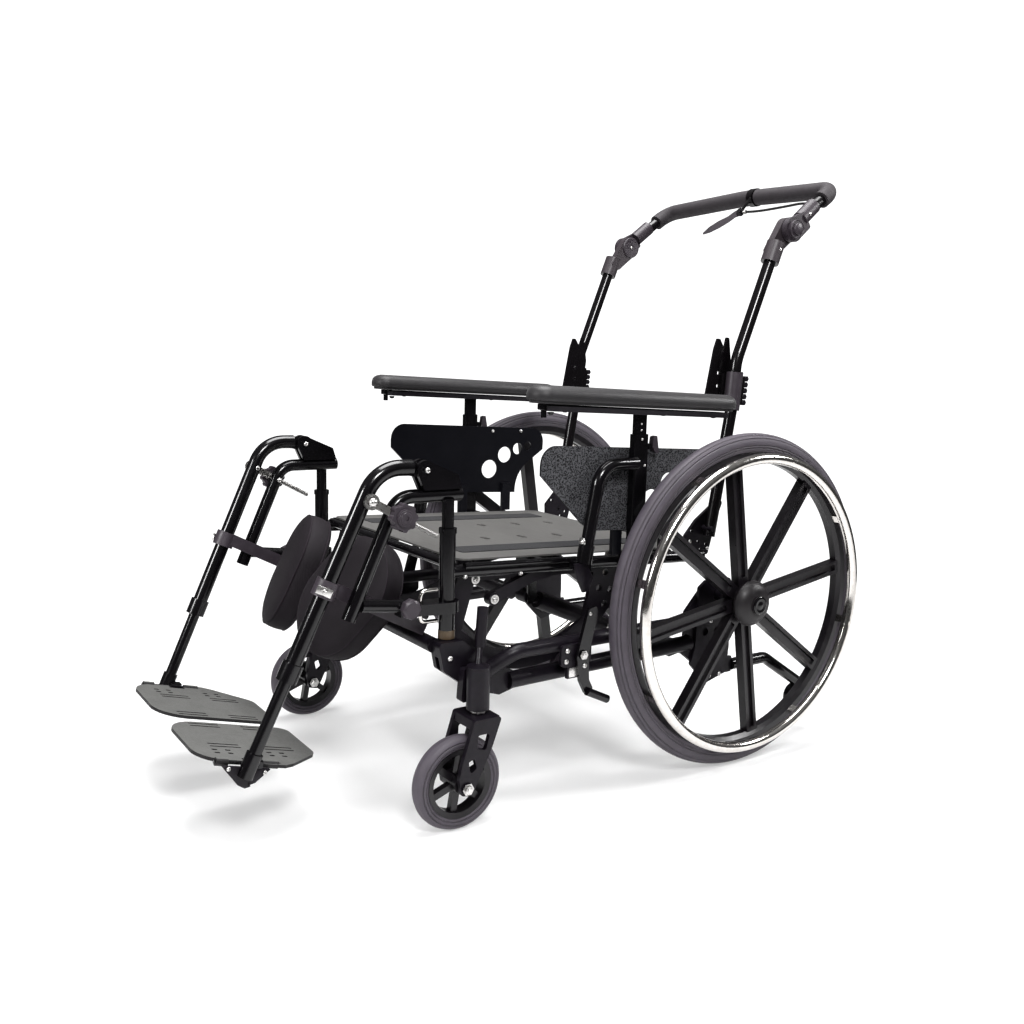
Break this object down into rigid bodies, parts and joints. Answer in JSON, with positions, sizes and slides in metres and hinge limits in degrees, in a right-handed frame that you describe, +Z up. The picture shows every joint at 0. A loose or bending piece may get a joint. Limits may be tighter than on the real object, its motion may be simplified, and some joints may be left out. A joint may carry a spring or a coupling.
{
  "type": "tilt in space wheelchair",
  "caption": "Manual wheelchair whose seat, back and legrests tilt together on curved rockers, with spoked rear wheels, swivel casters and elevating legrests.",
  "frame": {"origin": "on the floor, at the middle of the whole chair's box", "axes": "+X to the occupant's left, +Y to the back of the chair, +Z up"},
  "size_m": [0.747, 1.2654, 1.0957],
  "materials": {
    "frame_black": "gloss black powder coat",
    "wheel_black": "black moulded nylon",
    "tyre_grey": "dark grey solid tyre",
    "bright_steel": "polished stainless",
    "soft_black_plastic": "dark moulded plastic",
    "spring_steel": "satin steel",
    "pan_grey": "satin grey sheet",
    "panel_black": "smooth black board",
    "arm_pad_black": "matt black foam skin",
    "calf_fabric": "dark stretch fabric",
    "footplate_grey": "dark grey textured coat",
    "grip_rubber": "matt rubber"
  },
  "bodies": {
    "base": {"base_frame": "frame_black", "axle_plates": "frame_black", "wheel_lock_mounts": "frame_black"},
    "roller_front": {"tilt_rollers_front": "soft_black_plastic"},
    "roller_rear": {"tilt_rollers_rear": "soft_black_plastic"},
    "spring_rod": {"tilt_rod": "spring_steel"},
    "spring_cylinder": {"tilt_cylinder": "frame_black"},
    "seat": {"seat_frame": "frame_black", "seat_pan": "pan_grey", "rockers": "frame_black", "arm_frames": "frame_black", "side_panels": "panel_black", "back_brackets": "frame_black"},
    "back": {"back_canes": "frame_black"},
    "handle": {"handlebar": "frame_black", "handle_grip": "grip_rubber", "tilt_cable": "grip_rubber"},
    "lever": {"tilt_lever": "soft_black_plastic"},
    "wheel_left": {"rear_wheel_left": "wheel_black", "rear_tyre_left": "tyre_grey", "handrim_left": "bright_steel", "hub_cap_left": "soft_black_plastic"},
    "fork_left": {"caster_fork_left": "frame_black"},
    "caster_left": {"caster_wheel_left": "wheel_black", "caster_tyre_left": "tyre_grey"},
    "lock_left": {"wheel_lock_lever_left": "frame_black"},
    "tipper_left": {"anti_tipper_left": "frame_black"},
    "hanger_left": {"hanger_left": "frame_black"},
    "leg_left": {"leg_tube_left": "frame_black", "calf_bracket_left": "soft_black_plastic"},
    "adjuster_block_left": {"adjuster_block_left": "spring_steel"},
    "adjuster_rod_left": {"adjuster_rod_left": "spring_steel"},
    "adjuster_knob_left": {"adjuster_knob_left": "soft_black_plastic"},
    "calf_left": {"calf_pad_left": "calf_fabric"},
    "extension_left": {"leg_extension_left": "frame_black"},
    "foot_left": {"footplate_left": "footplate_grey"},
    "arm_left": {"arm_post_left": "frame_black", "arm_pad_left": "arm_pad_black"},
    "arm_lever_left": {"arm_lever_left": "soft_black_plastic"},
    "wheel_right": {"rear_wheel_right": "wheel_black", "rear_tyre_right": "tyre_grey", "handrim_right": "bright_steel", "hub_cap_right": "soft_black_plastic"},
    "fork_right": {"caster_fork_right": "frame_black"},
    "caster_right": {"caster_wheel_right": "wheel_black", "caster_tyre_right": "tyre_grey"},
    "lock_right": {"wheel_lock_lever_right": "frame_black"},
    "tipper_right": {"anti_tipper_right": "frame_black"},
    "hanger_right": {"hanger_right": "frame_black"},
    "leg_right": {"leg_tube_right": "frame_black", "calf_bracket_right": "soft_black_plastic"},
    "adjuster_block_right": {"adjuster_block_right": "spring_steel"},
    "adjuster_rod_right": {"adjuster_rod_right": "spring_steel"},
    "adjuster_knob_right": {"adjuster_knob_right": "soft_black_plastic"},
    "calf_right": {"calf_pad_right": "calf_fabric"},
    "extension_right": {"leg_extension_right": "frame_black"},
    "foot_right": {"footplate_right": "footplate_grey"},
    "arm_right": {"arm_post_right": "frame_black", "arm_pad_right": "arm_pad_black"},
    "arm_lever_right": {"arm_lever_right": "soft_black_plastic"}
  },
  "joints": [
    {"name": "tilt", "type": "hinge", "parent": "base", "child": "seat", "pos_m": [0, -0.08408, 0.44], "axis": [-1, 0, 0], "range_deg": [0, 30]},
    {"name": "tilt_roller_front", "type": "hinge", "parent": "base", "child": "roller_front", "pos_m": [0, -0.22532, 0.24559], "axis": [1, 0, 0], "range_deg": [0, 490]},
    {"name": "tilt_roller_rear", "type": "hinge", "parent": "base", "child": "roller_rear", "pos_m": [0, -0.00982, 0.21146], "axis": [1, 0, 0], "range_deg": [0, 490]},
    {"name": "spring_pivot", "type": "hinge", "parent": "base", "child": "spring_rod", "pos_m": [0, 0.29592, 0.172], "axis": [1, 0, 0], "range_deg": [0, 5.5]},
    {"name": "spring_slide", "type": "slide", "parent": "spring_rod", "child": "spring_cylinder", "axis": [0, -0.9154, 0.4026], "range_m": [0, 0.065]},
    {"name": "back_angle", "type": "hinge", "parent": "seat", "child": "back", "pos_m": [0, 0.31392, 0.425], "axis": [-1, 0, 0], "range_deg": [0, 20]},
    {"name": "handle_angle", "type": "hinge", "parent": "back", "child": "handle", "pos_m": [0, 0.48692, 0.982], "axis": [-1, 0, 0], "range_deg": [-45, 45]},
    {"name": "tilt_lever_squeeze", "type": "hinge", "parent": "handle", "child": "lever", "pos_m": [0.013, 0.58592, 1.046], "axis": [-0.7071, 0.7071, 0], "range_deg": [0, 20], "stiffness_Nm_per_rad": 0.4},
    {"name": "wheel_spin_left", "type": "hinge", "parent": "base", "child": "wheel_left", "pos_m": [0.3265, 0.31942, 0.305], "axis": [1, 0, 0], "continuous": true},
    {"name": "caster_swivel_left", "type": "hinge", "parent": "base", "child": "fork_left", "pos_m": [0.297, -0.22508, 0.2], "axis": [0, 0, 1], "continuous": true},
    {"name": "caster_spin_left", "type": "hinge", "parent": "fork_left", "child": "caster_left", "pos_m": [0.297, -0.26208, 0.076], "axis": [1, 0, 0], "continuous": true},
    {"name": "wheel_lock_left", "type": "hinge", "parent": "base", "child": "lock_left", "pos_m": [0.3075, -0.03008, 0.25], "axis": [1, 0, 0], "range_deg": [0, 9]},
    {"name": "anti_tipper_turn_left", "type": "hinge", "parent": "base", "child": "tipper_left", "pos_m": [0.2671, 0.37592, 0.162], "axis": [0, 1, 0], "range_deg": [0, 180]},
    {"name": "legrest_swing_left", "type": "hinge", "parent": "seat", "child": "hanger_left", "pos_m": [0.243, -0.25208, 0.44], "axis": [0, 0, 1], "range_deg": [0, 90]},
    {"name": "legrest_raise_left", "type": "hinge", "parent": "hanger_left", "child": "leg_left", "pos_m": [0.235, -0.29408, 0.5615], "axis": [-1, 0, 0], "range_deg": [0, 45]},
    {"name": "adjuster_turn_left", "type": "hinge", "parent": "hanger_left", "child": "adjuster_block_left", "pos_m": [0.253, -0.34268, 0.4948], "axis": [-1, 0, 0], "range_deg": [0, 40]},
    {"name": "adjuster_slide_left", "type": "slide", "parent": "adjuster_block_left", "child": "adjuster_rod_left", "axis": [0, -0.8804, 0.4742], "range_m": [0, 0.065]},
    {"name": "adjuster_knob_turn_left", "type": "hinge", "parent": "adjuster_block_left", "child": "adjuster_knob_left", "pos_m": [0.265, -0.34268, 0.4948], "axis": [1, 0, 0], "range_deg": [0, 360]},
    {"name": "calf_pad_turn_left", "type": "hinge", "parent": "leg_left", "child": "calf_left", "pos_m": [0.10586, -0.33718, 0.33133], "axis": [0.236, -0.8808, 0.4104], "range_deg": [-8, 40]},
    {"name": "leg_length_left", "type": "slide", "parent": "leg_left", "child": "extension_left", "axis": [-0.0408, -0.4122, -0.9102], "range_m": [-0.06, 0.08]},
    {"name": "footplate_flip_left", "type": "hinge", "parent": "extension_left", "child": "foot_left", "pos_m": [0.2, -0.55408, 0.13271], "axis": [0, 0.9668, -0.2554], "range_deg": [0, 50]},
    {"name": "armrest_height_left", "type": "slide", "parent": "seat", "child": "arm_left", "axis": [0, 0, 1], "range_m": [0, 0.075]},
    {"name": "armrest_lever_left", "type": "hinge", "parent": "seat", "child": "arm_lever_left", "pos_m": [0.275, 0.12242, 0.588], "axis": [1, 0, 0], "range_deg": [0, 20], "stiffness_Nm_per_rad": 0.1},
    {"name": "wheel_spin_right", "type": "hinge", "parent": "base", "child": "wheel_right", "pos_m": [-0.3265, 0.31942, 0.305], "axis": [1, 0, 0], "continuous": true},
    {"name": "caster_swivel_right", "type": "hinge", "parent": "base", "child": "fork_right", "pos_m": [-0.297, -0.22508, 0.2], "axis": [0, 0, 1], "continuous": true},
    {"name": "caster_spin_right", "type": "hinge", "parent": "fork_right", "child": "caster_right", "pos_m": [-0.297, -0.26208, 0.076], "axis": [1, 0, 0], "continuous": true},
    {"name": "wheel_lock_right", "type": "hinge", "parent": "base", "child": "lock_right", "pos_m": [-0.3075, -0.03008, 0.25], "axis": [1, 0, 0], "range_deg": [0, 9]},
    {"name": "anti_tipper_turn_right", "type": "hinge", "parent": "base", "child": "tipper_right", "pos_m": [-0.2671, 0.37592, 0.162], "axis": [0, -1, 0], "range_deg": [0, 180]},
    {"name": "legrest_swing_right", "type": "hinge", "parent": "seat", "child": "hanger_right", "pos_m": [-0.243, -0.25208, 0.44], "axis": [0, 0, -1], "range_deg": [0, 90]},
    {"name": "legrest_raise_right", "type": "hinge", "parent": "hanger_right", "child": "leg_right", "pos_m": [-0.235, -0.29408, 0.5615], "axis": [-1, 0, 0], "range_deg": [0, 45]},
    {"name": "adjuster_turn_right", "type": "hinge", "parent": "hanger_right", "child": "adjuster_block_right", "pos_m": [-0.253, -0.34268, 0.4948], "axis": [-1, 0, 0], "range_deg": [0, 40]},
    {"name": "adjuster_slide_right", "type": "slide", "parent": "adjuster_block_right", "child": "adjuster_rod_right", "axis": [0, -0.8804, 0.4742], "range_m": [0, 0.065]},
    {"name": "adjuster_knob_turn_right", "type": "hinge", "parent": "adjuster_block_right", "child": "adjuster_knob_right", "pos_m": [-0.265, -0.34268, 0.4948], "axis": [-1, 0, 0], "range_deg": [0, 360]},
    {"name": "calf_pad_turn_right", "type": "hinge", "parent": "leg_right", "child": "calf_right", "pos_m": [-0.10586, -0.33718, 0.33133], "axis": [0.236, 0.8808, -0.4104], "range_deg": [-35, 35]},
    {"name": "leg_length_right", "type": "slide", "parent": "leg_right", "child": "extension_right", "axis": [0.0408, -0.4122, -0.9102], "range_m": [-0.06, 0.08]},
    {"name": "footplate_flip_right", "type": "hinge", "parent": "extension_right", "child": "foot_right", "pos_m": [-0.2, -0.55408, 0.13271], "axis": [0, -0.9668, 0.2554], "range_deg": [0, 50]},
    {"name": "armrest_height_right", "type": "slide", "parent": "seat", "child": "arm_right", "axis": [0, 0, 1], "range_m": [0, 0.075]},
    {"name": "armrest_lever_right", "type": "hinge", "parent": "seat", "child": "arm_lever_right", "pos_m": [-0.275, 0.12242, 0.588], "axis": [1, 0, 0], "range_deg": [0, 20], "stiffness_Nm_per_rad": 0.1}
  ],
  "couplings": [
    {"joint": "tilt_roller_front", "follows": "tilt", "ratio": 16.143},
    {"joint": "tilt_roller_rear", "follows": "tilt", "ratio": 16.143},
    {"joint": "spring_pivot", "follows": "tilt", "ratio": 0.1706},
    {"joint": "spring_slide", "follows": "tilt", "m_per_rad": 0.1112},
    {"joint": "adjuster_turn_left", "follows": "legrest_raise_left", "ratio": 0.8517},
    {"joint": "adjuster_slide_left", "follows": "legrest_raise_left", "m_per_rad": 0.0802},
    {"joint": "adjuster_turn_right", "follows": "legrest_raise_right", "ratio": 0.8517},
    {"joint": "adjuster_slide_right", "follows": "legrest_raise_right", "m_per_rad": 0.0802}
  ]
}
